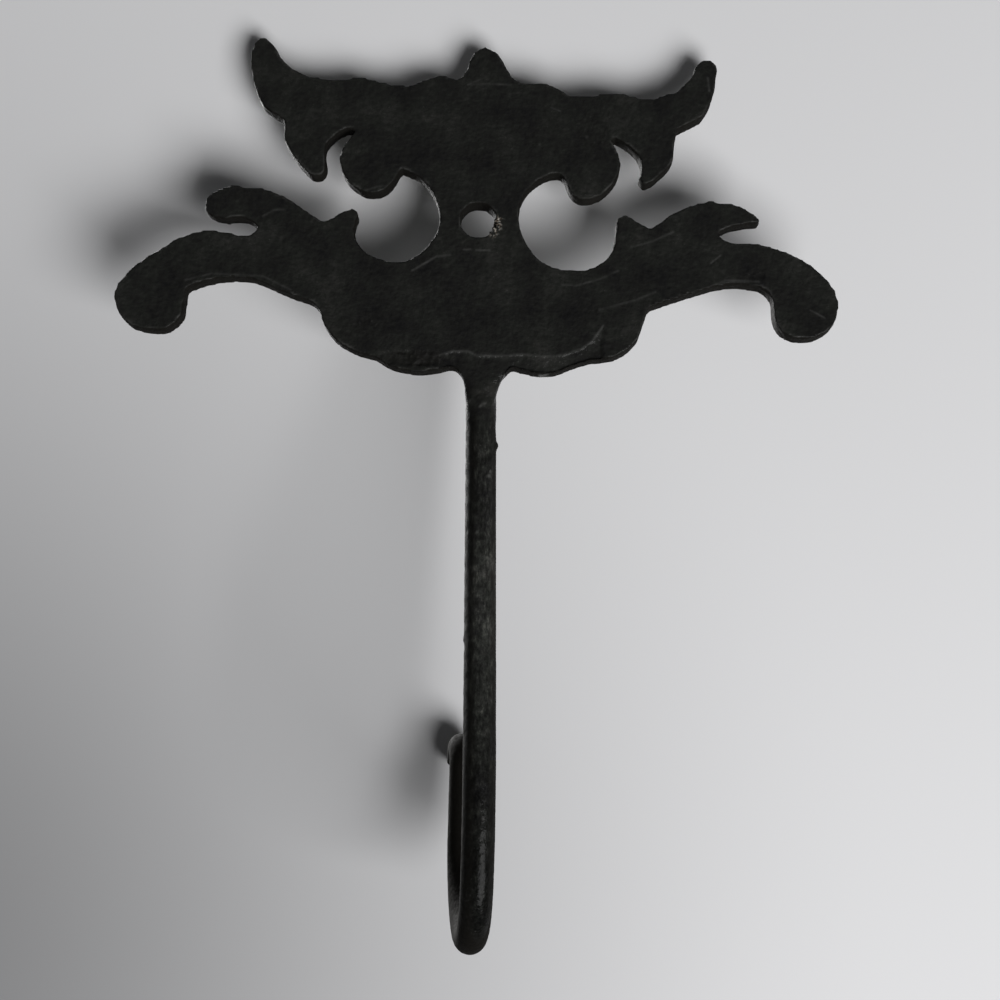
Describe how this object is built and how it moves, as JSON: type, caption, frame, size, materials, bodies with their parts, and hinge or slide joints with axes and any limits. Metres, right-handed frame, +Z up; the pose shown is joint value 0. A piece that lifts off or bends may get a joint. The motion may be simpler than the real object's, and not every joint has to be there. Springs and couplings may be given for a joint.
{
  "type": "ornamental wall hook",
  "caption": "Long cast-iron wall hook: a flat-backed scroll plate with a screw hole, and a round rod that bends forward into an open hook with a curled tip.",
  "frame": {"origin": "centre of the screw hole on the wall face", "axes": "+Z up as hung, +Y into the wall, -Y out into the room, +X to the right as seen from the room"},
  "size_m": [0.1546, 0.054, 0.1978],
  "materials": {
    "black_iron": "satin black, slightly mottled as cast"
  },
  "bodies": {
    "root": {"wall_hook": "black_iron"}
  },
  "joints": []
}
